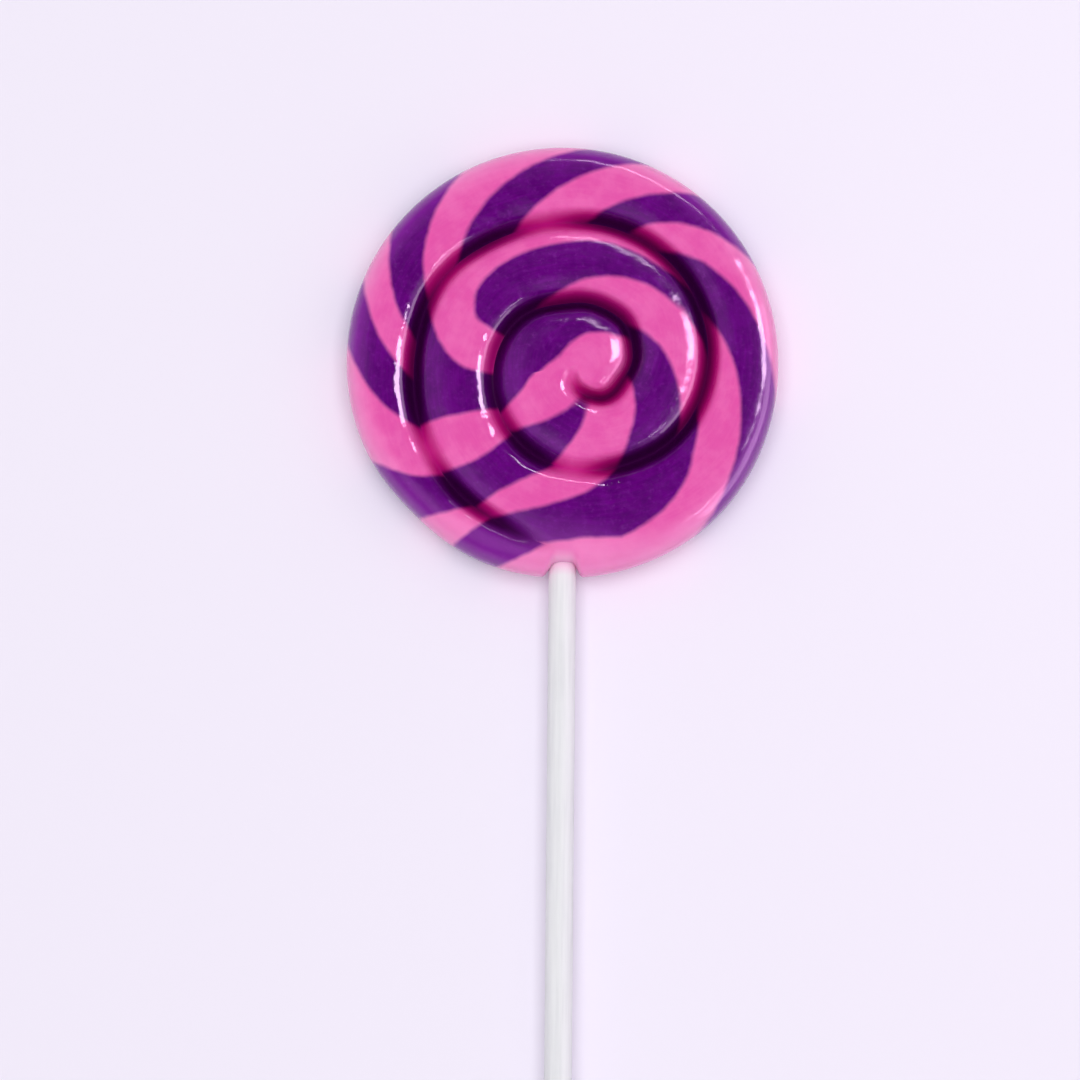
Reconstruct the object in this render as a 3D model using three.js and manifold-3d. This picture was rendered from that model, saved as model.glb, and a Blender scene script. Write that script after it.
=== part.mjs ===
// Swirl lollipop lying on its back: a rope of hard candy coiled flat into a disc, on a straight stick.
// Millimetres, +Z up. The origin is under the middle of the disc, on the surface that it lies on.
// The swirl's better face looks up, and the stick runs along -Y at the height of the disc's rim.
import * as THREE from "three";
import { ParametricGeometry } from "three/addons/geometries/ParametricGeometry.js";
import { mergeGeometries, mergeVertices } from "three/addons/utils/BufferGeometryUtils.js";
import Module from "manifold-3d";

const { clamp, degToRad, euclideanModulo, lerp, smoothstep } = THREE.MathUtils;
const TURN = 2 * Math.PI;

// Driving dimensions
const DISC_RADIUS = 37;
const DISC_THICKNESS = 11;
const ROPE_WIDTH = 13.65; // from one seam of the coil to the next
const STICK_DIAMETER = 4.7;
const STICK_LENGTH = 150;
const STICK_ROUNDING = 0.7; // the soft edge of both ends
const STICK_TIP_Y = -10; // the end that is held inside the candy
const STICK_X = 0.3; // a little to one side of the disc's middle
const SOCKET_GAP = 0.3; // clearance all round the held length

// Section through the rope, pressed flat underneath and rounded on top
const RIM_HEIGHT = 5.2; // where the outer side stands upright, and the stick's own height
const RIM_REACH = 4.2; // how far in from the outline the rounded edge runs
const RIM_POWER = 2.5; // 2 is an ellipse, and more is squarer
const CROWN_DROP = 2; // how far the rope's rounded top falls towards a seam
const CROWN_POWER = 3; // more falls closer to the seam
const GROOVE_DEPTH = 1.7; // how much deeper the groove along the seam is
const GROOVE_REACH = 2.3;
const GROOVE_POWER = 3; // more keeps its depth closer to the seam
const SEAM_ROUNDING = 0.5; // keeps the bottom of the seam level
const BACK_GROOVE_DEPTH = 1.3;
const BACK_GROOVE_REACH = 3.4;

// The coil opens anticlockwise as its angle grows, about a centre to one side of the disc's middle
const COIL_CENTRE = new THREE.Vector2(3.16, -0.94);
const COIL_ZERO = degToRad(-210.5); // where the even spiral has no radius
const SEAM_OPENS = [degToRad(-170), degToRad(-55)]; // the groove grows from nothing over this stretch
const SEAM_CLOSES = [degToRad(575), degToRad(628)]; // the rope's tail melts into the turn beside it
const SEAM_LEAVES = degToRad(620); // past the tail the closed seam bends out to the edge
const SEAM_LEAVING_CURVE = 18; // millimetres for each radian squared

// Where the hand-rolled seam strays from the even spiral: angle, distance outwards, stretch
const SEAM_STRAYS = [
  [degToRad(-112), -0.4, degToRad(18)],
  [degToRad(-50), 0.7, degToRad(24)],
  [degToRad(8), 0.5, degToRad(18)],
  [degToRad(43), 0.8, degToRad(22)],
  [degToRad(109), -0.8, degToRad(22)],
  [degToRad(292), -0.7, degToRad(26)],
  [degToRad(465), -0.6, degToRad(20)],
  [degToRad(511), 0.8, degToRad(18)],
  [degToRad(604), -0.6, degToRad(14)],
];

// Where the outline strays from a circle: a flat beside the tail and a bulge
const OUTLINE_STRAYS = [
  [degToRad(221), -0.6, degToRad(14)],
  [degToRad(312), 0.5, degToRad(30)],
];

// The notch that the stick comes out of
const STICK_ANGLE = degToRad(265.5);
const NOTCH_DEPTH = 2.5;
const NOTCH_HALF_WIDTH = degToRad(4.3);
const NOTCH_POWER = 6; // 2 is a soft dip, and more is flatter with steeper sides
const NOTCH_REACH = 1.5; // how far in from the outline the top dips with the notch

// Where the edge is rounded further in: angle, distance, stretch
const RIM_STRAYS = [[STICK_ANGLE, 4.5, degToRad(30)]];

// Where the groove is shallower, most of all over the stick: angle, share of the depth, stretch
const SEAM_SHALLOWS = [
  [degToRad(190), -0.25, degToRad(40)],
  [STICK_ANGLE, -0.45, degToRad(16)],
  [degToRad(465), -0.33, degToRad(14)],
  [degToRad(505), -0.15, degToRad(14)],
  [degToRad(570), -0.4, degToRad(12)],
];

// How finely the faces are split
const STEPS_PER_TURN = 96;
const STEPS_TO_STICK = 30; // from the rope's inner end until it first points at the stick
const STEP_CROWDING = 0.7; // 0 spaces the steps evenly, and more draws them together round the stick
const CELLS_ACROSS_TOP = 10;
const CELLS_ACROSS_BACK = 6;
const INNER_END_CROWDING = 0.6; // 0 spaces the points of the innermost turn evenly
const STICK_SIDES = 24;
const ROUNDING_STEPS = 3;
const MERGE_DISTANCE = 1e-4;

const candyMaterial = new THREE.MeshStandardMaterial({ color: 0xe858b0, roughness: 0.15, metalness: 0 });
const stickMaterial = new THREE.MeshStandardMaterial({ color: 0xe9e8ea, roughness: 0.45, metalness: 0 });

// Angle of a step along the rope, where each turn has its steps at the same angles
function stepAngle(step) {
  const fromStick = ((step - STEPS_TO_STICK) * TURN) / STEPS_PER_TURN;
  return STICK_ANGLE - TURN + fromStick - STEP_CROWDING * Math.sin(fromStick);
}

const COIL_FIRST = (stepAngle(0) + stepAngle(1)) / 2; // the seam starts within the first step

// The sum of smooth swellings, each given by its place, its height and its stretch
function strayAt(angle, strays) {
  return strays.reduce((sum, [at, by, over]) => sum + by * Math.exp(-(((angle - at) / over) ** 2)), 0);
}

// A rounded shoulder: 0 at the edge, rising steeply to 1 at the full reach and staying there
function shoulder(share, power) {
  return (1 - (1 - clamp(share, 0, 1)) ** power) ** (1 / power);
}

function notchDepth(angle) {
  const fromNotch = Math.abs(euclideanModulo(angle, TURN) - STICK_ANGLE) / NOTCH_HALF_WIDTH;
  return NOTCH_DEPTH * Math.exp(-(fromNotch ** NOTCH_POWER));
}

// Distance from the coil's centre to the disc's outline
function outlineRadius(angle) {
  const direction = new THREE.Vector2(Math.cos(angle), Math.sin(angle));
  const along = -COIL_CENTRE.dot(direction);
  const circle = along + Math.sqrt(along ** 2 - COIL_CENTRE.lengthSq() + DISC_RADIUS ** 2);
  return circle + strayAt(euclideanModulo(angle, TURN), OUTLINE_STRAYS) - notchDepth(angle);
}

// Distance from the coil's centre to the seam on the outer side of the rope
function seamRadius(angle) {
  if (angle < COIL_FIRST) return 0;
  const leaving = SEAM_LEAVING_CURVE * Math.max(0, angle - SEAM_LEAVES) ** 2;
  return (ROPE_WIDTH * (angle - COIL_ZERO)) / TURN + strayAt(angle, SEAM_STRAYS) + leaving;
}

function ropeEdge(angle) {
  return Math.min(seamRadius(angle), outlineRadius(angle));
}

// How open the seam is: 0 where the turns have melted together, 1 at full depth
function seamOpening(angle) {
  const opened = smoothstep(angle, ...SEAM_OPENS) * (1 - smoothstep(angle, ...SEAM_CLOSES));
  return opened * (1 + strayAt(angle, SEAM_SHALLOWS));
}

// How far a rounded top has fallen: 1 in the seam, where it is level, and 0 at the full reach
function fallToSeam(distance, reach) {
  const fromSeam = (along) => Math.hypot(along, SEAM_ROUNDING) - SEAM_ROUNDING;
  return (1 - Math.min(1, fromSeam(distance) / fromSeam(reach))) ** CROWN_POWER;
}

function topDrop(distance, reach) {
  const share = Math.min(1, distance / Math.min(reach, GROOVE_REACH));
  return CROWN_DROP * fallToSeam(distance, reach) + GROOVE_DEPTH * (1 - share ** 2) ** GROOVE_POWER;
}

function backDrop(distance, reach) {
  return BACK_GROOVE_DEPTH * fallToSeam(distance, Math.min(reach, BACK_GROOVE_REACH));
}

// How much the two seams beside a point of the rope lower it
function dropAt(radius, angle, dropBeside) {
  const inner = ropeEdge(angle - TURN);
  const outer = ropeEdge(angle);
  const isInnerEnd = inner === 0; // the innermost turn wraps round a point and has one seam
  const reach = Math.max(MERGE_DISTANCE, Math.min(ROPE_WIDTH / 2, (outer - inner) * (isInnerEnd ? 1 : 0.5)));
  const fromOuter = seamOpening(angle) * dropBeside(outer - radius, reach);
  return fromOuter + seamOpening(angle - TURN) * dropBeside(radius - inner, reach);
}

function rimRise(radius, angle) {
  const reach = RIM_REACH + strayAt(euclideanModulo(angle, TURN), RIM_STRAYS);
  const inside = outlineRadius(angle) - radius;
  const besideNotch = notchDepth(angle) * (1 - Math.exp(-inside / NOTCH_REACH));
  return shoulder((inside + besideNotch) / reach, RIM_POWER);
}

function topHeight(radius, angle) {
  const crown = DISC_THICKNESS - dropAt(radius, angle, topDrop);
  return lerp(RIM_HEIGHT, crown, rimRise(radius, angle));
}

function backHeight(radius, angle) {
  return lerp(RIM_HEIGHT, dropAt(radius, angle, backDrop), rimRise(radius, angle));
}

// Steps along the rope, until the seam has met the outline and one more turn has gone round
function stepsAlongRope() {
  let meets = 0;
  while (seamRadius(stepAngle(meets)) < outlineRadius(stepAngle(meets))) meets += 1;
  return meets + STEPS_PER_TURN;
}

// Even shares of the way across the rope, drawn together towards its seams
function closerAtSeams(share, isInnerEnd) {
  if (isInnerEnd) return lerp(share, 1 - (1 - share) ** 2, INNER_END_CROWDING);
  return (1 - Math.cos(Math.PI * share)) / 2;
}

// One face of the disc as a strip along the rope, whose turns share the points of the seam between them
function coilFace(heightAt, cellsAcross, looksUp) {
  const steps = stepsAlongRope();
  const placePoint = (u, v, target) => {
    const angle = stepAngle(v * steps);
    const inner = ropeEdge(angle - TURN);
    const radius = lerp(inner, ropeEdge(angle), closerAtSeams(looksUp ? u : 1 - u, inner === 0));
    target.set(
      COIL_CENTRE.x + radius * Math.cos(angle),
      COIL_CENTRE.y + radius * Math.sin(angle),
      heightAt(radius, angle),
    );
  };
  return new ParametricGeometry(placePoint, cellsAcross, steps);
}

// Shared points are merged, and triangles that this leaves without an area are dropped
function closedMesh(geometry) {
  geometry.deleteAttribute("normal");
  geometry.deleteAttribute("uv");
  const merged = mergeVertices(geometry, MERGE_DISTANCE);
  const corners = Array.from(merged.index.array);
  const kept = [];
  for (let i = 0; i < corners.length; i += 3) {
    const [a, b, c] = corners.slice(i, i + 3);
    if (a !== b && b !== c && c !== a) kept.push(a, b, c);
  }
  merged.setIndex(kept);
  return merged;
}

// A round rod along +Y from the origin, with softly rounded ends
function rodGeometry(radius, length, rounding) {
  const profile = new THREE.Path()
    .moveTo(0, 0)
    .lineTo(radius - rounding, 0)
    .absarc(radius - rounding, rounding, rounding, -Math.PI / 2, 0)
    .lineTo(radius, length - rounding)
    .absarc(radius - rounding, length - rounding, rounding, 0, Math.PI / 2)
    .lineTo(0, length);
  return closedMesh(new THREE.LatheGeometry(profile.getPoints(ROUNDING_STEPS), STICK_SIDES));
}

const wasm = await Module();
wasm.setup();

function toSolid(geometry) {
  const mesh = new wasm.Mesh({
    numProp: 3,
    vertProperties: Float32Array.from(geometry.attributes.position.array),
    triVerts: Uint32Array.from(geometry.index.array),
  });
  return new wasm.Manifold(mesh);
}

function toGeometry(solid) {
  const mesh = solid.getMesh();
  const geometry = new THREE.BufferGeometry();
  geometry.setAttribute("position", new THREE.BufferAttribute(Float32Array.from(mesh.vertProperties), 3));
  geometry.setIndex(new THREE.BufferAttribute(Uint32Array.from(mesh.triVerts), 1));
  geometry.computeVertexNormals();
  return geometry;
}

// The coiled disc, with a blind hole for the stick
function makeCandy() {
  const top = coilFace(topHeight, CELLS_ACROSS_TOP, true);
  const back = coilFace(backHeight, CELLS_ACROSS_BACK, false);
  const disc = toSolid(closedMesh(mergeGeometries([top, back])));
  const socket = rodGeometry(STICK_DIAMETER / 2 + SOCKET_GAP, STICK_LENGTH, STICK_ROUNDING);
  socket.translate(STICK_X, STICK_TIP_Y + SOCKET_GAP - STICK_LENGTH, RIM_HEIGHT);
  const candy = new THREE.Mesh(toGeometry(disc.subtract(toSolid(socket))), candyMaterial);
  candy.name = "candy";
  return candy;
}

function makeStick() {
  const rod = rodGeometry(STICK_DIAMETER / 2, STICK_LENGTH, STICK_ROUNDING);
  const stick = new THREE.Mesh(rod, stickMaterial);
  stick.name = "stick";
  stick.position.set(STICK_X, STICK_TIP_Y - STICK_LENGTH, RIM_HEIGHT);
  return stick;
}

const lollipop = new THREE.Group();
lollipop.add(makeCandy(), makeStick());

export default lollipop;
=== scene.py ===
import math

import bpy
import numpy as np
from mathutils import Matrix, Vector


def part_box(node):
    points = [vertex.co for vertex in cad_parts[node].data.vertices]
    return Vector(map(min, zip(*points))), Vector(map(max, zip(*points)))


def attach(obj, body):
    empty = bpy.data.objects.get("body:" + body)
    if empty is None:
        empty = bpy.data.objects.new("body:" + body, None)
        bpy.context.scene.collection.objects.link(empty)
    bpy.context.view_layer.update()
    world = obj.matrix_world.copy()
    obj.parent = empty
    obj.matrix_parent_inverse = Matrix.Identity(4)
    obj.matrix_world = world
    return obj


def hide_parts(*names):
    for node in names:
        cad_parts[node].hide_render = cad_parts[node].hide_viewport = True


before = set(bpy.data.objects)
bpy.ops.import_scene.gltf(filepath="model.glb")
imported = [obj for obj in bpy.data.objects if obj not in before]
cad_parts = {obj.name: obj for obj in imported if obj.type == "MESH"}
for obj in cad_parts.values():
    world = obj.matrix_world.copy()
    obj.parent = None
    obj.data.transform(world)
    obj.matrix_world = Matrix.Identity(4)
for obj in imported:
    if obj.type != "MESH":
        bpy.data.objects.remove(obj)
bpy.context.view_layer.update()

# Sizes are in millimetres and angles in degrees until a mesh is made, because the scene itself is in metres
MM = 0.001
TURN = 360.0

# Sizes that the solids give
candy_low, candy_high = [Vector(corner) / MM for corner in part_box("candy")]
stick_low, stick_high = [Vector(corner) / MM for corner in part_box("stick")]
DISC_THICKNESS = candy_high.z - candy_low.z
STICK_RADIUS = (stick_high.x - stick_low.x) / 2
STICK_X = (stick_high.x + stick_low.x) / 2
RIM_HEIGHT = (stick_high.z + stick_low.z) / 2  # the stick lies at the height of the disc's rim

# The coil, as the solid has it. Each row of strays or shallows is a swelling: its angle along the coil, its
# height, and how far it stretches.
DISC_RADIUS = 37.0
ROPE_WIDTH = 13.65
RIM_REACH = 4.2
RIM_POWER = 2.5
CROWN_DROP = 2.0  # how far the rope's top falls towards a seam
CROWN_POWER = 3
GROOVE_DEPTH = 1.7  # how much deeper the groove itself is
GROOVE_REACH = 2.3
GROOVE_POWER = 3
GROOVE_ROUNDING = 0.5
BACK_GROOVE_DEPTH = 1.3
BACK_GROOVE_REACH = 3.4
COIL_CENTRE = np.array([3.16, -0.94])
COIL_ZERO = -210.5
SEAM_OPENS = (-170.0, -55.0)
SEAM_CLOSES = (575.0, 628.0)
SEAM_LEAVES = 620.0
SEAM_LEAVING_CURVE = 18.0  # millimetres for each radian squared
SEAM_STRAYS = (
    (-112, -0.4, 18),
    (-50, 0.7, 24),
    (8, 0.5, 18),
    (43, 0.8, 22),
    (109, -0.8, 22),
    (292, -0.7, 26),
    (465, -0.6, 20),
    (511, 0.8, 18),
    (604, -0.6, 14),
)
OUTLINE_STRAYS = ((221, -0.6, 14), (312, 0.5, 30))
STICK_ANGLE = 265.5  # where the stick comes out, seen from the coil's centre
NOTCH_DEPTH = 2.5
NOTCH_HALF_WIDTH = 4.3
NOTCH_POWER = 6  # 2 is a soft dip, and more is flatter with steeper sides
NOTCH_REACH = 1.5  # how far in from the outline the top dips with the notch
RIM_STRAYS = ((STICK_ANGLE, 4.5, 30),)  # beside the stick the edge is rounded further in
SEAM_SHALLOWS = (
    (190, -0.25, 40),
    (STICK_ANGLE, -0.45, 16),
    (465, -0.33, 14),
    (505, -0.15, 14),
    (570, -0.4, 12),
)

# Unevenness of hard candy rolled by hand: wavelength, direction, height and phase of each wave
WAVES = (
    (9.0, 20, 0.030, 0),
    (6.3, 75, 0.024, 120),
    (4.4, 140, 0.020, 40),
    (2.9, 105, 0.011, 200),
    (1.9, 60, 0.006, 310),
)

# How finely the pieces are split
STEPS_PER_TURN = 480
STEPS_TO_STICK = 150  # from the rope's inner end until it first points at the stick
STEP_CROWDING = 0.7  # 0 spaces the steps evenly, and more draws them together round the stick
CELLS_ACROSS_TOP = 36
CELLS_ACROSS_BACK = 14
INNER_END_CROWDING = 0.6
STICK_SIDES = 64
STICK_ROUNDING = 0.7
ROUNDING_STEPS = 6
RINGS_ALONG = 150
HOLE_CLEARANCE = 0.03  # the candy has set hard against the stick

# The purple strand of the twisted rope. Each row is one stripe: the angles along the coil of its first edge
# and of its last edge, at even steps across the rope from the inner side to the outer side.
STRIPES = (
    ((240, 56, 28), (120, 204, 211)),
    ((274, 240, 223), (286, 268, 254)),
    ((350, 310, 290), (404, 361, 325)),
    ((488, 412, 365), (519, 519, 518, 518, 516, 511, 504, 480, 418, 405, 395)),
    ((546, 541, 518), (568, 562, 561)),
    ((585, 584, 578), (615, 599, 594)),
    ((650, 615, 600), (702, 694, 685, 678, 670, 657, 634, 625, 618)),
    ((745, 711, 666), (777, 753, 710)),
    ((791, 776, 750), (808, 791, 775)),
    ((837, 814, 791), (861, 841, 807)),
    ((877, 863, 841), (892, 880, 864)),
    ((905, 894, 878), (922, 913, 895)),
    ((939, 935, 925), (953, 948, 944)),
    ((960, 957, 955), (979, 974, 968)),
)
EDGE_SAMPLES = 9  # how many places are averaged to bend an edge softly
STRIPE_ROUNDING = 2.4  # how round the ends of a stripe are

# Zones of the candy's colour, with painted shade in the grooves and painted sheen at the edge, in
# millimetres
CREASE_SHADE_REACH = 2.7  # how far from its seam the groove gets painted shade
CREASE_SHADE_STRAYS = ((-12, -1.1, 56),)  # the painted shade reaches further where the ball at the rope's inner end overhangs its groove
CREASE_SHADE_POWER = 1.5  # more keeps the painted shade of a shallow groove lighter
EXTRA_CREASE_SHADE = ((604, 0.45, 17),)  # painted shade where the rope's tail lies against the turn inside it
FOLD_OPENS = 0.3  # how open a groove is when its bottom has lost all its shine
SHEEN_ZONE = (0.6, 4.5)  # painted sheen, palest up to the first distance from the outline
SHEEN_STRAYS = ((STICK_ANGLE - 8, 9.0, 26),)  # the painted sheen reaches further in beside the stick
OUTER_SIDE = (0.45, 0.80)  # shares across the rope where its outer side gets less polished
STICK_GLOW_ZONE = (0.2, 2.6)  # the stick shows through the thin candy above it
STICK_GLOW_HALF_WIDTH = 1.9
BOUNCE_LENGTH = 2.0  # painted pink bounce light and shade on the stick, outside the notch
EDGE_SOFTNESS = 0.5  # how gently a stripe's edge blends
EDGE_WANDER = 0.5  # how far an edge strays from its line
SHEEN_SHARE = 0.55  # how much painted sheen shows at the outline

# Fine looks, where a scale is about the number of blots in a metre
WANDER_SCALE = 380.0
CLOUD_SCALE = 230.0
SPECK_SCALE = 1100.0
RIPPLE_SCALE = 800.0
POLISH_SCALE = 900.0
PULLED_LINES = (0.14, 1.6, 1.0)  # lines in a millimetre along the rope and across it
RIPPLE_HEIGHT = 0.045
POLISH = (0.07, 0.13)  # roughness of the shiniest and of the dullest spots
OUTER_SIDE_DULLNESS = 0.09
FOLD_DULLNESS = 0.3
STREAK_SCALE = 1800.0
STREAK_STRETCH = (1.0, 0.04, 1.0)  # the stick's streaks run along it
STREAK_HEIGHT = 0.03
STICK_CLOUD_SCALE = 120.0
STICK_POLISH = (0.5, 0.62)

# Camera, from the disc's place in the photograph
PHOTO_PX = 1080
DISC_PX = 433
DISC_CENTRE_PX = (562.5, 361.5)
PHOTO_ROLL = 0.52  # how far the stick leans
CAMERA_ELEVATION = 86.0
CAMERA_DISTANCE = 600.0
SENSOR_WIDTH = 36.0

FLOOR_SIDE = 4000.0
FLOOR_GAP = 0.1  # under the candy's back

# Lights: direction on the floor, lean from straight up, in metres the distance, width and depth, then watts,
# and whether it lights the colours or shows in the gloss
LIGHTS = {
    "overhead": (0, 0, 2.00, 1.60, 1.60, 29.5, "colours"),
    "window": (16, 40, 0.60, 0.20, 0.24, 3.6, "gloss"),
    "strip_above": (72, 42, 0.70, 0.30, 0.035, 0.8, "gloss"),
    "strip_below": (-42, 42, 0.70, 0.16, 0.03, 0.35, "gloss"),
    "panel_right": (-10, 70, 0.90, 1.20, 0.55, 8.0, "gloss"),
}
PLAIN_LIGHT = 0.42  # lights the colours from all round
CEILING_LIGHT = 0.015
HORIZON_LIGHT = 0.8
HORIZON_ZONE = (0.06, 0.40)  # heights of a direction where the horizon fades into the ceiling

# Soft glows in the gloss of the slopes that face them: towards, zone of the cosine, strength
GLOWS = (
    ((-0.72, 0.05, 0.69), (0.72, 0.99), 0.4),
    ((-0.20, -0.45, 0.87), (0.86, 0.99), 0.6),
    ((0.80, -0.35, 0.48), (0.80, 0.98), 1.3),
)


def srgb(red, green, blue):
    """A colour seen on a screen, 0 to 255, as the linear colour that shaders take."""
    shares = [value / 255 for value in (red, green, blue)]
    return (*[s / 12.92 if s <= 0.04045 else ((s + 0.055) / 1.055) ** 2.4 for s in shares], 1.0)


PINK = srgb(230, 86, 172)
PALE_PINK = srgb(240, 112, 186)
# painted sheen near the outline, on the pink
SHEEN_PINK = srgb(255, 164, 218)
PURPLE = srgb(86, 0, 108)
LIGHT_PURPLE = srgb(114, 4, 138)
SPECK_PURPLE = srgb(140, 40, 164)
# painted sheen near the outline, on the purple
SHEEN_PURPLE = srgb(156, 50, 178)
# painted shade in the grooves, on the pink and on the purple
PINK_CREASE_SHADE = srgb(188, 14, 124)
DEEP_PINK_CREASE_SHADE = srgb(84, 0, 64)
PURPLE_CREASE_SHADE = srgb(52, 0, 58)
STICK_GLOW = srgb(250, 168, 216)
# painted pink bounce light and shade on the stick beside the notch
BOUNCE_PINK = srgb(240, 196, 224)
STICK_WHITE = srgb(232, 232, 235)
STICK_SHADE = srgb(220, 220, 224)
FLOOR_COLOUR = srgb(238, 232, 246)
GLOSS_TINT = srgb(255, 216, 255)  # what the gloss shows has a touch of pink
WHITE = srgb(255, 255, 255)


# Form of the coil

def step_angle(step):
    """Angle of a step along the rope, where each turn has its steps at the same angles."""
    from_stick = (step - STEPS_TO_STICK) * TURN / STEPS_PER_TURN
    return STICK_ANGLE - TURN + from_stick - np.degrees(STEP_CROWDING * np.sin(np.radians(from_stick)))


COIL_FIRST = step_angle(0.5)  # the seam starts within the first step


def stray(angle, rows):
    """The sum of smooth swellings, each given by its place, its height and its stretch."""
    return sum(by * np.exp(-(((angle - at) / over) ** 2)) for at, by, over in rows)


def shoulder(share, power):
    """A rounded shoulder: 0 at the edge, rising steeply to 1 at the full reach."""
    return (1 - (1 - np.clip(share, 0, 1)) ** power) ** (1 / power)


def smoothstep(value, low, high):
    share = np.clip((value - low) / (high - low), 0, 1)
    return share * share * (3 - 2 * share)


def notch_depth(angle):
    from_notch = np.abs(np.mod(angle, TURN) - STICK_ANGLE) / NOTCH_HALF_WIDTH
    return NOTCH_DEPTH * np.exp(-(from_notch**NOTCH_POWER))


def outline_radius(angle):
    """Distance from the coil's centre to the disc's outline."""
    along = -(COIL_CENTRE[0] * np.cos(np.radians(angle)) + COIL_CENTRE[1] * np.sin(np.radians(angle)))
    circle = along + np.sqrt(along**2 - COIL_CENTRE @ COIL_CENTRE + DISC_RADIUS**2)
    return circle + stray(np.mod(angle, TURN), OUTLINE_STRAYS) - notch_depth(angle)


def seam_radius(angle):
    """Distance from the coil's centre to the seam on the outer side of the rope."""
    leaving = SEAM_LEAVING_CURVE * np.radians(np.maximum(0, angle - SEAM_LEAVES)) ** 2
    spiral = ROPE_WIDTH * (angle - COIL_ZERO) / TURN + stray(angle, SEAM_STRAYS) + leaving
    return np.where(angle < COIL_FIRST, 0, spiral)


def rope_edge(angle):
    return np.minimum(seam_radius(angle), outline_radius(angle))


def seam_opening(angle):
    """0 where neighbouring turns have melted together, 1 where the groove has its full depth."""
    opened = smoothstep(angle, *SEAM_OPENS) * (1 - smoothstep(angle, *SEAM_CLOSES))
    return opened * (1 + stray(angle, SEAM_SHALLOWS))


def fall_to_seam(distance, reach):
    """1 in the seam, where the fall is level, and 0 at the full reach."""
    from_seam = np.hypot(np.maximum(distance, 0), GROOVE_ROUNDING) - GROOVE_ROUNDING
    whole = np.hypot(reach, GROOVE_ROUNDING) - GROOVE_ROUNDING
    return (1 - np.minimum(1, from_seam / whole)) ** CROWN_POWER


def top_drop(distance, reach):
    share = np.clip(distance / np.minimum(reach, GROOVE_REACH), 0, 1)
    return CROWN_DROP * fall_to_seam(distance, reach) + GROOVE_DEPTH * (1 - share**2) ** GROOVE_POWER


def back_drop(distance, reach):
    return BACK_GROOVE_DEPTH * fall_to_seam(distance, np.minimum(reach, BACK_GROOVE_REACH))


def drop_at(radius, angle, drop):
    """How much the two seams beside a point of the rope lower it."""
    inner = rope_edge(angle - TURN)
    outer = rope_edge(angle)
    whole = np.where(inner == 0, outer, (outer - inner) / 2)
    reach = np.maximum(1e-4, np.minimum(ROPE_WIDTH / 2, whole))
    from_outer = seam_opening(angle) * drop(outer - radius, reach)
    return from_outer + seam_opening(angle - TURN) * drop(radius - inner, reach)


def rim_rise(radius, angle):
    reach = RIM_REACH + stray(np.mod(angle, TURN), RIM_STRAYS)
    inside = outline_radius(angle) - radius
    beside_notch = notch_depth(angle) * (1 - np.exp(-inside / NOTCH_REACH))
    return shoulder((inside + beside_notch) / reach, RIM_POWER)


def unevenness(radius, angle):
    x = radius * np.cos(np.radians(angle))
    y = radius * np.sin(np.radians(angle))
    height = 0
    for length, direction, rise, phase in WAVES:
        along = x * math.cos(math.radians(direction)) + y * math.sin(math.radians(direction))
        height = height + rise * np.sin(2 * math.pi * along / length + math.radians(phase))
    return height


def top_height(radius, angle):
    crown = DISC_THICKNESS + unevenness(radius, angle) - drop_at(radius, angle, top_drop)
    return RIM_HEIGHT + (crown - RIM_HEIGHT) * rim_rise(radius, angle)


def back_height(radius, angle):
    return RIM_HEIGHT - (RIM_HEIGHT - drop_at(radius, angle, back_drop)) * rim_rise(radius, angle)


# Colour places on the rope

def edge_angle(edge, share):
    """Where a stripe's edge lies along the coil, at a share of the way across the rope."""
    gap = 1 / (len(edge) - 1)
    places = np.linspace(-gap, 1 + gap, len(edge) + 2)
    angles = [2 * edge[0] - edge[1], *edge, 2 * edge[-1] - edge[-2]]
    nearby = np.linspace(-gap / 2, gap / 2, EDGE_SAMPLES)
    return sum(np.interp(share + away, places, angles) for away in nearby) / EDGE_SAMPLES


def beside_edge(edge, angle, share, radius, width):
    """Distance from a stripe's edge in millimetres, growing along the coil."""
    step = 0.01
    slope = (edge_angle(edge, share + step) - edge_angle(edge, share - step)) / (2 * step)
    slant = np.radians(slope) * radius / np.maximum(width, 1e-3)
    return np.radians(angle - edge_angle(edge, share)) * radius / np.sqrt(1 + slant**2)


def rounded_lower(first, second, rounding):
    """The lower of two distances, with the corner between them rounded off."""
    share = np.clip(0.5 + (second - first) / (2 * rounding), 0, 1)
    return second + (first - second) * share - rounding * share * (1 - share)


def stripe_depth(stripes, angle, share, radius, width):
    """How far a point lies inside the purple strand, in millimetres: below zero it is pink."""
    depth = np.full(angle.shape, -ROPE_WIDTH)
    for first, last in stripes:
        after_first = beside_edge(first, angle, share, radius, width)
        before_last = -beside_edge(last, angle, share, radius, width)
        depth = np.maximum(depth, rounded_lower(after_first, before_last, STRIPE_ROUNDING))
    return depth


def back_stripes():
    """The twist goes on under the rope: each stripe comes up again as the next one's outer edge."""
    joined = []
    for before, after in zip((STRIPES[0], *STRIPES), STRIPES):
        joined.append([(low[0], (low[0] + high[-1]) / 2, high[-1]) for low, high in zip(before, after)])
    return joined


def rope_places(angle, share, width):
    """Millimetres along the rope and across it, for the fine lines that pulling leaves in the candy."""
    turns = (angle - COIL_ZERO) / TURN - 0.5
    return {"along": math.pi * ROPE_WIDTH * turns**2, "across": share * width}


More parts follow.
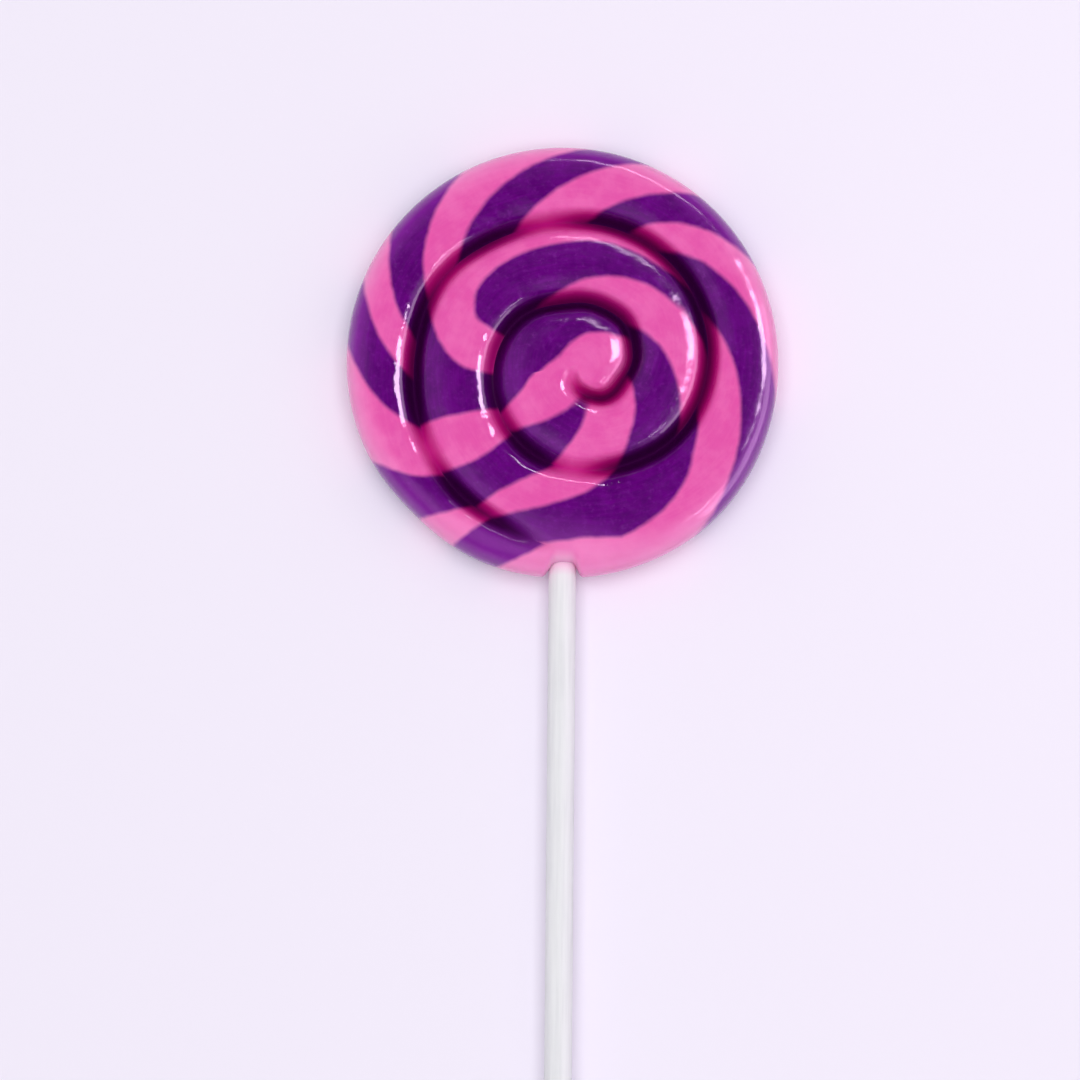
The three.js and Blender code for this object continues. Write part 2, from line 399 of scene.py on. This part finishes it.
def colour_zones(angle, share, radius):
    """Where the candy is darker or paler, from 0 to 1: painted shade in the grooves, painted sheen near the
    outline, dull spots and the stick showing through.
    """
    inner = rope_edge(angle - TURN)
    outer = rope_edge(angle)
    crease_shade = 0
    fold = 0
    for seam, distance, reach in (
        (angle, outer - radius, CREASE_SHADE_REACH + stray(angle, CREASE_SHADE_STRAYS)),
        (angle - TURN, radius - inner, CREASE_SHADE_REACH),
    ):
        nearness = np.clip(1 - distance / reach, 0, 1)
        opening = seam_opening(seam)
        # painted shade, darkest in an open groove's seam
        crease_shade = crease_shade + (opening**CREASE_SHADE_POWER + stray(seam, EXTRA_CREASE_SHADE)) * nearness
        fold = fold + np.clip(opening / FOLD_OPENS, 0, 1) * nearness
    to_outline = outline_radius(angle) - radius
    # painted sheen near the outline, reaching further in beside the stick
    sheen_to = SHEEN_ZONE[1] + stray(np.mod(angle, TURN), SHEEN_STRAYS)
    x = COIL_CENTRE[0] + radius * np.cos(np.radians(angle))
    y = radius * np.sin(np.radians(angle))
    beside_stick = np.exp(-(((x - STICK_X) / STICK_GLOW_HALF_WIDTH) ** 4)) * (y < 0)
    return {
        "crease_shade": np.minimum(1, crease_shade),
        "fold": np.minimum(1, fold),
        "rim": 1 - smoothstep(to_outline + notch_depth(angle), SHEEN_ZONE[0], sheen_to),
        "outer_side": smoothstep(share, *OUTER_SIDE),
        "stick_glow": beside_stick * (1 - smoothstep(to_outline, *STICK_GLOW_ZONE)),
    }


# Candy mesh

def rope_steps():
    """Steps along the rope until its seam meets the outline, and until it ends one turn later."""
    meets = 0
    while seam_radius(step_angle(meets)) < outline_radius(step_angle(meets)):
        meets += 1
    return meets, meets + STEPS_PER_TURN


def rope_grid(cells):
    """Angle, share across and radius for each point of a strip along the whole rope."""
    steps = rope_steps()[1]
    angle = step_angle(np.arange(steps + 1))[:, None]
    even = np.linspace(0, 1, cells + 1)[None, :]
    inner = rope_edge(angle - TURN)
    outer = rope_edge(angle)
    inner_end = even + (1 - (1 - even) ** 2 - even) * INNER_END_CROWDING
    share = np.where(inner == 0, inner_end, (1 - np.cos(math.pi * even)) / 2)
    radius = inner + (outer - inner) * share
    return np.broadcast_to(angle, share.shape), share, radius


def welded_ids(cells):
    """Point numbers in which the turns share the seam between them, and each end is one point."""
    meets, steps = rope_steps()
    ids = np.arange((steps + 1) * (cells + 1)).reshape(steps + 1, cells + 1)
    ids[0, :] = ids[0, 0]
    ids[: STEPS_PER_TURN + 1, 0] = ids[0, 0]
    ids[STEPS_PER_TURN:, 0] = ids[: meets + 1, -1]
    ids[steps, :] = ids[meets, -1]
    return ids


def strip_triangles(shape, looks_up):
    """Corner numbers of the strip's triangles, before the seams are shared."""
    own = np.arange(shape[0] * shape[1]).reshape(shape)
    a, b, c, d = own[:-1, :-1], own[:-1, 1:], own[1:, 1:], own[1:, :-1]
    triangles = np.concatenate([np.stack(half, -1).reshape(-1, 3) for half in ((a, b, d), (b, c, d))])
    return triangles if looks_up else triangles[:, ::-1]


def face_of_disc(cells, height, stripes, looks_up):
    """One face of the disc: its points, triangles, and the values that its material reads."""
    angle, share, radius = rope_grid(cells)
    width = rope_edge(angle) - rope_edge(angle - TURN)
    turned = np.radians(angle)
    points = np.stack([
        COIL_CENTRE[0] + radius * np.cos(turned),
        COIL_CENTRE[1] + radius * np.sin(turned),
        height(radius, angle),
    ], -1)
    values = {"stripe": stripe_depth(stripes, angle, share, radius, width)}
    values.update(rope_places(angle, share, width))
    values.update(colour_zones(angle, share, radius))
    return {
        "points": points.reshape(-1, 3),
        "ids": welded_ids(cells),
        "triangles": strip_triangles(share.shape, looks_up),
        "values": {name: value.ravel() for name, value in values.items()},
    }


def new_object(name, points, faces):
    """A smooth object from points in millimetres."""
    mesh = bpy.data.meshes.new(name)
    mesh.from_pydata((np.asarray(points) * MM).tolist(), [], faces)
    mesh.polygons.foreach_set("use_smooth", [True] * len(faces))
    mesh.update()
    made = bpy.data.objects.new(name, mesh)
    bpy.context.collection.objects.link(made)
    return made


def make_disc():
    top = face_of_disc(CELLS_ACROSS_TOP, top_height, STRIPES, True)
    back = face_of_disc(CELLS_ACROSS_BACK, back_height, back_stripes(), False)
    meets, steps = rope_steps()

    # both faces share the points of the rim
    count = len(top["points"])
    back_ids = back["ids"] + count
    back_ids[meets:, -1] = top["ids"][meets:, -1]
    back_ids[steps, :] = top["ids"][steps, -1]

    ids = np.concatenate([top["ids"].ravel(), back_ids.ravel()])
    corners = np.concatenate([top["triangles"], back["triangles"] + count])
    a, b, c = ids[corners].T
    corners = corners[(a != b) & (b != c) & (c != a)]
    used, faces = np.unique(ids[corners], return_inverse=True)
    points = np.concatenate([top["points"], back["points"]])[used]
    disc = new_object("candy_rope", points, faces.reshape(-1, 3).tolist())
    for name in top["values"]:
        values = np.concatenate([top["values"][name], back["values"][name]])
        attribute = disc.data.attributes.new(name, "FLOAT", "CORNER")
        attribute.data.foreach_set("value", values[corners.ravel()].astype(np.float32))
    return disc


def make_rod(name, radius, low, high):
    """A round rod along Y with softly rounded ends, turned from its profile."""
    turns = np.linspace(0, math.pi / 2, ROUNDING_STEPS)
    radii = radius - STICK_ROUNDING + STICK_ROUNDING * np.sin(turns)
    inset = STICK_ROUNDING * (1 - np.cos(turns))
    straight = np.linspace(low + STICK_ROUNDING, high - STICK_ROUNDING, RINGS_ALONG)[1:-1]
    middle = [(y, radius) for y in straight]
    profile = [*zip(low + inset, radii), *middle, *zip((high - inset)[::-1], radii[::-1])]
    around = np.linspace(0, 2 * math.pi, STICK_SIDES, endpoint=False)
    ring = np.stack([np.cos(around), np.zeros(STICK_SIDES), np.sin(around)], -1)
    axis = np.array([STICK_X, 0, RIM_HEIGHT])
    rings = [axis + (0, y, 0) + ring_radius * ring for y, ring_radius in profile]
    points = np.concatenate([[axis + (0, low, 0)], *rings, [axis + (0, high, 0)]])
    faces = []
    last = 1 + (len(profile) - 1) * STICK_SIDES
    for side in range(STICK_SIDES):
        after = (side + 1) % STICK_SIDES
        faces.append((0, 1 + side, 1 + after))
        for start in range(1, last, STICK_SIDES):
            end = start + STICK_SIDES
            faces.append((start + side, end + side, end + after, start + after))
        faces.append((last + side, len(points) - 1, last + after))
    return new_object(name, points, faces)


# Nodes of the materials and the world

class Nodes:
    """A node tree, with short ways to add the nodes that the materials and the world use."""

    def __init__(self, tree):
        self.tree = tree

    def put(self, socket, value):
        if isinstance(value, bpy.types.NodeSocket):
            self.tree.links.new(value, socket)
        else:
            socket.default_value = value

    def add(self, kind, inputs, **settings):
        made = self.tree.nodes.new(kind)
        for name, value in settings.items():
            setattr(made, name, value)
        for name, value in inputs.items():
            self.put(made.inputs[name], value)
        return made

    def maths(self, operation, first, second=0.0, third=0.0):
        made = self.add("ShaderNodeMath", {0: first, 1: second, 2: third}, operation=operation)
        return made.outputs[0]

    def ramp(self, value, low, high, to_low=0.0, to_high=1.0):
        inputs = {"Value": value, "From Min": low, "From Max": high, "To Min": to_low, "To Max": to_high}
        made = self.add("ShaderNodeMapRange", inputs, interpolation_type="SMOOTHSTEP")
        return made.outputs["Result"]

    def mix(self, share, first, second):
        """A blend of two colours, by the places of the colour sockets on the node."""
        made = self.add("ShaderNodeMix", {}, data_type="RGBA")
        self.put(made.inputs[0], share)
        self.put(made.inputs[6], first)
        self.put(made.inputs[7], second)
        return made.outputs[2]


class Finish(Nodes):
    """A material's nodes."""

    def __init__(self, name):
        self.material = bpy.data.materials.new(name)
        self.material.use_nodes = True
        super().__init__(self.material.node_tree)
        self.shader = self.tree.nodes["Principled BSDF"]

    def attribute(self, name):
        return self.add("ShaderNodeAttribute", {}, attribute_name=name).outputs["Fac"]

    def place(self):
        return self.add("ShaderNodeTexCoord", {}).outputs["Object"]

    def noise(self, vector, scale, detail=2.0, roughness=0.5):
        inputs = {"Vector": vector, "Scale": scale, "Detail": detail, "Roughness": roughness}
        return self.add("ShaderNodeTexNoise", inputs).outputs["Fac"]

    def stretched(self, vector, scale):
        return self.add("ShaderNodeMapping", {"Vector": vector, "Scale": scale}).outputs["Vector"]

    def vector(self, x, y):
        return self.add("ShaderNodeCombineXYZ", {"X": x, "Y": y}).outputs["Vector"]

    def bump(self, height, distance, strength=1.0):
        inputs = {"Height": height, "Distance": distance, "Strength": strength}
        self.put(self.shader.inputs["Normal"], self.add("ShaderNodeBump", inputs).outputs["Normal"])

    def surface(self, **inputs):
        for name, value in inputs.items():
            self.put(self.shader.inputs[name.replace("_", " ")], value)


def candy_finish():
    finish = Finish("twisted_candy")
    place = finish.place()
    crease_shade = finish.attribute("crease_shade")
    rim = finish.attribute("rim")
    fold = finish.attribute("fold")
    wander = finish.noise(place, WANDER_SCALE, 3.0)
    moved = finish.maths("MULTIPLY_ADD", wander, EDGE_WANDER, finish.attribute("stripe"))
    is_purple = finish.ramp(moved, EDGE_WANDER / 2 - EDGE_SOFTNESS, EDGE_WANDER / 2 + EDGE_SOFTNESS)

    rope = finish.vector(finish.attribute("along"), finish.attribute("across"))
    lines = finish.noise(finish.stretched(rope, PULLED_LINES), 1.0, 3.0, 0.6)
    clouds = finish.ramp(finish.noise(place, CLOUD_SCALE, 4.0, 0.6), 0.35, 0.7)
    drawn = finish.ramp(lines, 0.35, 0.75)
    # painted sheen near the outline
    painted_sheen = finish.maths("MULTIPLY", rim, SHEEN_SHARE)

    milky = finish.maths("MULTIPLY_ADD", drawn, 0.2, finish.maths("MULTIPLY", clouds, 0.6))
    pink = finish.mix(milky, PINK, PALE_PINK)
    pink = finish.mix(painted_sheen, pink, SHEEN_PINK)
    # painted shade deepens the pink towards the bottom of each groove
    pink = finish.mix(finish.ramp(crease_shade, 0.0, 0.55), pink, PINK_CREASE_SHADE)
    pink = finish.mix(finish.ramp(crease_shade, 0.35, 1.0), pink, DEEP_PINK_CREASE_SHADE)

    specks = finish.ramp(finish.noise(place, SPECK_SCALE, 3.0, 0.6), 0.5, 0.85, 0.0, 0.4)
    grainy = finish.maths("MULTIPLY_ADD", drawn, 0.4, finish.maths("MULTIPLY", clouds, 0.5))
    purple = finish.mix(grainy, PURPLE, LIGHT_PURPLE)
    purple = finish.mix(specks, purple, SPECK_PURPLE)
    # painted sheen near the outline
    purple = finish.mix(painted_sheen, purple, SHEEN_PURPLE)
    # painted shade darkens the purple in the grooves
    purple = finish.mix(finish.ramp(crease_shade, 0.0, 0.7), purple, PURPLE_CREASE_SHADE)

    strands = finish.mix(is_purple, pink, purple)
    colour = finish.mix(finish.attribute("stick_glow"), strands, STICK_GLOW)

    ripple = finish.maths("MULTIPLY_ADD", lines, 0.15, finish.noise(place, RIPPLE_SCALE, 1.0))
    finish.bump(ripple, RIPPLE_HEIGHT * MM, finish.ramp(rim, 0.0, 0.7, 1.0, 0.1))
    dullness = finish.ramp(finish.noise(place, POLISH_SCALE), 0.3, 0.7, *POLISH)
    dullness = finish.maths("MULTIPLY_ADD", finish.attribute("outer_side"), OUTER_SIDE_DULLNESS, dullness)
    finish.surface(
        Base_Color=colour,
        Roughness=finish.maths("ADD", finish.ramp(fold, 0.2, 0.7, 0.0, FOLD_DULLNESS), dullness),
        Specular_IOR_Level=finish.ramp(fold, 0.2, 0.6, 0.5, 0.03),
        IOR=1.5,
        Subsurface_Weight=0.25,
        Subsurface_Radius=(1.0, 0.4, 0.7),
        Subsurface_Scale=0.0012,
    )
    return finish.material


def stick_finish():
    finish = Finish("stick_plastic")
    place = finish.place()
    streaks = finish.noise(finish.stretched(place, STREAK_STRETCH), STREAK_SCALE, 3.0)
    clouds = finish.noise(place, STICK_CLOUD_SCALE, 3.0)
    shade = finish.maths("MULTIPLY", finish.ramp(streaks, 0.3, 0.7), clouds)
    plastic = finish.mix(shade, STICK_WHITE, STICK_SHADE)
    finish.bump(streaks, STREAK_HEIGHT * MM)
    finish.surface(
        # painted pink bounce light and shade near the notch
        Base_Color=finish.mix(finish.attribute("pink_bounce"), plastic, BOUNCE_PINK),
        Roughness=finish.ramp(clouds, 0.3, 0.7, *STICK_POLISH),
        Specular_IOR_Level=0.3,
        IOR=1.48,
        Subsurface_Weight=0.7,
        Subsurface_Radius=(1.0, 1.0, 1.0),
        Subsurface_Scale=0.0015,
    )
    return finish.material


# Floor, lights and camera

def make_floor():
    """A plain sheet that the lollipop lies on."""
    half = FLOOR_SIDE / 2
    corners = [(x * half, y * half, -FLOOR_GAP) for x, y in ((-1, -1), (1, -1), (1, 1), (-1, 1))]
    floor = new_object("floor", corners, [(0, 1, 2, 3)])
    finish = Finish("floor_paper")
    finish.surface(Base_Color=FLOOR_COLOUR, Roughness=0.7)
    floor.data.materials.append(finish.material)


def make_lights():
    for name, (direction, lean, distance, across, depth, watts, lit) in LIGHTS.items():
        data = bpy.data.lights.new(name, "AREA")
        data.shape = "RECTANGLE"
        data.size = across
        data.size_y = depth
        data.energy = watts
        data.color = (GLOSS_TINT if lit == "gloss" else WHITE)[:3]
        light = bpy.data.objects.new(name, data)
        light.visible_diffuse = lit != "gloss"
        light.visible_glossy = lit != "colours"
        bpy.context.collection.objects.link(light)
        flat = Vector((math.cos(math.radians(direction)), math.sin(math.radians(direction)), 0))
        away = flat * math.sin(math.radians(lean)) + Vector((0, 0, math.cos(math.radians(lean))))
        sideways = Vector((-flat.y, flat.x, 0))
        turn = Matrix((sideways, away.cross(sideways), away)).transposed()
        light.matrix_world = Matrix.Translation(away * distance) @ turn.to_4x4()


def make_world():
    """Plain light for the colours. The gloss shows a dark ceiling, a bright horizon and soft glows."""
    world = bpy.data.worlds.new("studio")
    world.use_nodes = True
    nodes = Nodes(world.node_tree)
    direction = nodes.add("ShaderNodeTexCoord", {}).outputs["Generated"]

    def facing(towards):
        made = nodes.add("ShaderNodeVectorMath", {0: direction, 1: towards}, operation="DOT_PRODUCT")
        return made.outputs["Value"]

    shown = nodes.ramp(facing((0, 0, 1)), *HORIZON_ZONE, HORIZON_LIGHT, CEILING_LIGHT)
    for towards, zone, strength in GLOWS:
        glow = nodes.ramp(facing(Vector(towards).normalized()), *zone, 0.0, strength)
        shown = nodes.maths("ADD", shown, glow)
    is_gloss = nodes.add("ShaderNodeLightPath", {}).outputs["Is Glossy Ray"]
    brightness = nodes.add("ShaderNodeMix", {"Factor": is_gloss, "A": PLAIN_LIGHT, "B": shown})
    background = nodes.tree.nodes["Background"]
    nodes.put(background.inputs["Strength"], brightness.outputs["Result"])
    nodes.put(background.inputs["Color"], nodes.mix(is_gloss, WHITE, GLOSS_TINT))
    bpy.context.scene.world = world


def make_camera():
    """Looks down on the disc's face, with the disc where the photograph has it."""
    mm_per_px = 2 * DISC_RADIUS / DISC_PX
    roll = math.radians(PHOTO_ROLL)
    right = Vector((math.cos(roll), math.sin(roll), 0))
    upward = Vector((-math.sin(roll), math.cos(roll), 0))
    middle = right * (PHOTO_PX / 2 - DISC_CENTRE_PX[0]) + upward * (DISC_CENTRE_PX[1] - PHOTO_PX / 2)
    target = middle * mm_per_px + Vector((0, 0, RIM_HEIGHT))
    lift = math.radians(CAMERA_ELEVATION)
    back = Vector((0, 0, 1)) * math.sin(lift) - upward * math.cos(lift)
    data = bpy.data.cameras.new("camera")
    data.sensor_width = SENSOR_WIDTH
    data.lens = SENSOR_WIDTH * CAMERA_DISTANCE / (PHOTO_PX * mm_per_px)
    camera = bpy.data.objects.new("camera", data)
    bpy.context.collection.objects.link(camera)
    turn = Matrix((right, back.cross(right), back)).transposed()
    camera.matrix_world = Matrix.Translation((target + back * CAMERA_DISTANCE) * MM) @ turn.to_4x4()
    bpy.context.scene.camera = camera


def make_candy():
    """The disc with a tight hole for the stick."""
    disc = make_disc()
    cutter = make_rod("cutter", STICK_RADIUS + HOLE_CLEARANCE, stick_low.y, stick_high.y + HOLE_CLEARANCE)
    cut = disc.modifiers.new("hole", "BOOLEAN")
    cut.operation = "DIFFERENCE"
    cut.solver = "EXACT"
    cut.object = cutter
    whole = disc.data
    disc.data = bpy.data.meshes.new_from_object(disc.evaluated_get(bpy.context.evaluated_depsgraph_get()))
    disc.modifiers.clear()
    bpy.data.objects.remove(cutter)
    bpy.data.meshes.remove(whole)
    return disc


def make_stick():
    """The stick, with painted pink bounce light and shade where it comes out of the notch."""
    stick = make_rod("stick_rod", STICK_RADIUS, stick_low.y, stick_high.y)
    notch = COIL_CENTRE[1] - outline_radius(STICK_ANGLE) * math.sin(math.radians(STICK_ANGLE - 180))
    points = np.empty(3 * len(stick.data.vertices))
    stick.data.vertices.foreach_get("co", points)
    # painted pink bounce light and shade, fading in towards the notch
    pink_bounce = smoothstep(points[1::3] / MM, notch - BOUNCE_LENGTH, notch)
    stick.data.attributes.new("pink_bounce", "FLOAT", "POINT").data.foreach_set("value", pink_bounce.astype(np.float32))
    return stick


make_camera()
make_lights()
make_world()
make_floor()
bpy.context.scene.view_settings.view_transform = "Standard"

candy = make_candy()
candy.data.materials.clear()
candy.data.materials.append(candy_finish())
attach(candy, "root")
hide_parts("candy")

stick = make_stick()
stick.data.materials.append(stick_finish())
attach(stick, "root")
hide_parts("stick")
